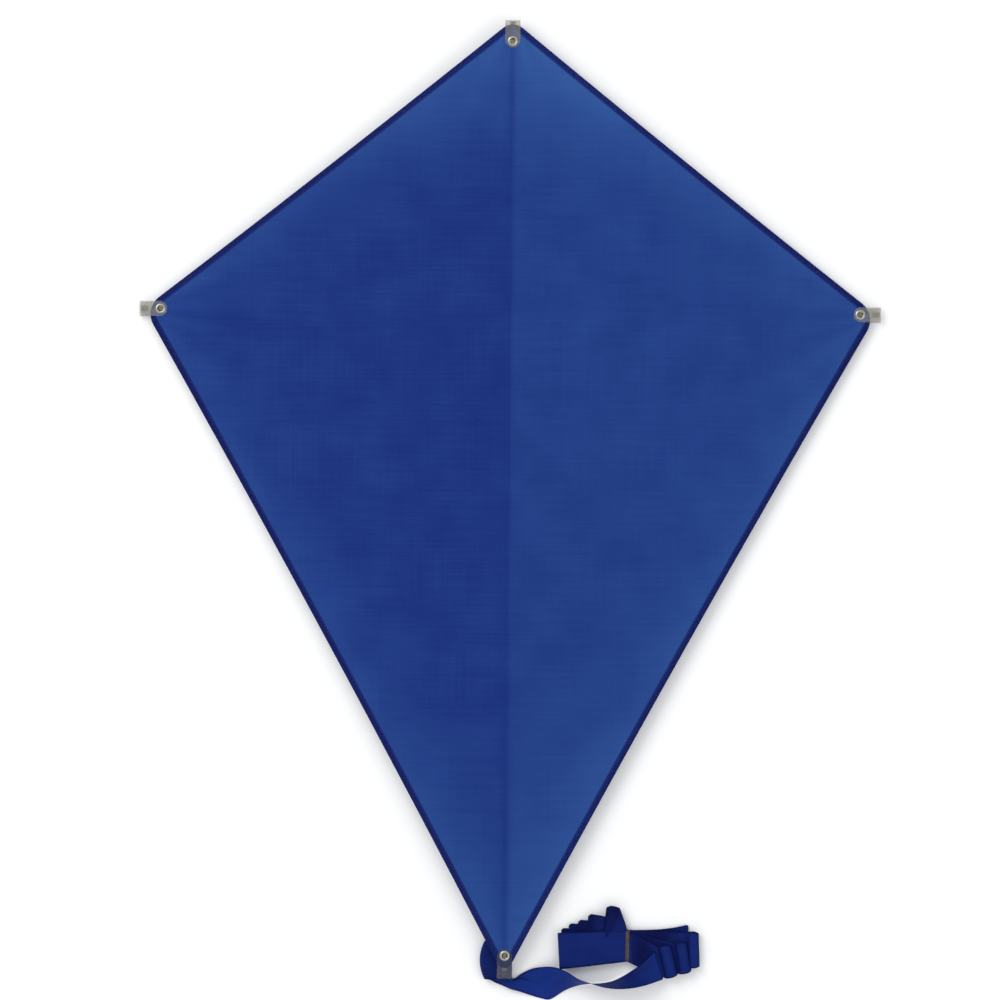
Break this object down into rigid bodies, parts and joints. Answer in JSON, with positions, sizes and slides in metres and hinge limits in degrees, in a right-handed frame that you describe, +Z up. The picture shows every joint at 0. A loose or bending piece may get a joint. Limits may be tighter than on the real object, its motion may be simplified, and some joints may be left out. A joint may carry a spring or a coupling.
{
  "type": "diamond kite",
  "caption": "Blue diamond kite with a plain cloth sail, clear corner tabs with metal eyelets, a crossed-rod frame and a folded ribbon tail.",
  "frame": {"origin": "where the spine and the cross spar cross, on the surface that the kite lies on face up (the flat underside of the spar clip)", "axes": "+X to the kite's right side corner, +Y along the spine to the nose, +Z up out of the front of the sail"},
  "size_m": [0.7132, 0.9394, 0.034],
  "materials": {
    "sail_cloth": "plain-weave polyester, royal blue, translucent",
    "hem_cloth": "folded and stitched edge of the same cloth, darker",
    "ribbon": "navy taffeta ribbon with a soft sheen",
    "clear_vinyl": "hazy clear PVC strip",
    "nickel": "polished nickel plate",
    "fibreglass": "natural pultruded fibreglass rod",
    "black_plastic": "moulded black plastic",
    "vinyl_cap": "soft black vinyl",
    "rubber_band": "brown rubber band"
  },
  "bodies": {
    "spine": {"sail_centre": "sail_cloth", "hem_nose": "hem_cloth", "hem_tail": "hem_cloth", "nose_tab": "clear_vinyl", "tail_tab": "clear_vinyl", "nose_eyelet": "nickel", "tail_eyelet": "nickel", "nose_washer": "nickel", "tail_washer": "nickel", "spine_rod": "fibreglass", "nose_cap": "vinyl_cap", "tail_cap": "vinyl_cap", "spine_clip": "black_plastic", "tail_rivet": "nickel"},
    "left_wing": {"sail_left": "sail_cloth", "hem_upper_left": "hem_cloth", "hem_lower_left": "hem_cloth", "left_tab": "clear_vinyl", "left_eyelet": "nickel", "left_washer": "nickel"},
    "right_wing": {"sail_right": "sail_cloth", "hem_upper_right": "hem_cloth", "hem_lower_right": "hem_cloth", "right_tab": "clear_vinyl", "right_eyelet": "nickel", "right_washer": "nickel"},
    "cross_spar": {"spar_rod": "fibreglass", "left_cap": "vinyl_cap", "right_cap": "vinyl_cap", "spar_clip": "black_plastic", "swivel_pin": "nickel"},
    "tail": {"tail_root": "ribbon", "tail_lead": "ribbon", "tail_bundle": "ribbon", "tail_band": "rubber_band"}
  },
  "joints": [
    {"name": "left_wing_fold", "type": "hinge", "parent": "spine", "child": "left_wing", "pos_m": [-0.0086, 0, 0.0172], "axis": [0, 1, 0], "range_deg": [0, 88]},
    {"name": "right_wing_fold", "type": "hinge", "parent": "spine", "child": "right_wing", "pos_m": [0.0086, 0, 0.0172], "axis": [0, -1, 0], "range_deg": [0, 88]},
    {"name": "cross_spar_swivel", "type": "hinge", "parent": "spine", "child": "cross_spar", "pos_m": [0, 0, 0.0084], "axis": [0, 0, 1], "range_deg": [0, 90]},
    {"name": "tail_swing", "type": "hinge", "parent": "spine", "child": "tail", "pos_m": [0, -0.63, 0.00955], "axis": [0, 0, 1], "range_deg": [-100, 15]}
  ]
}
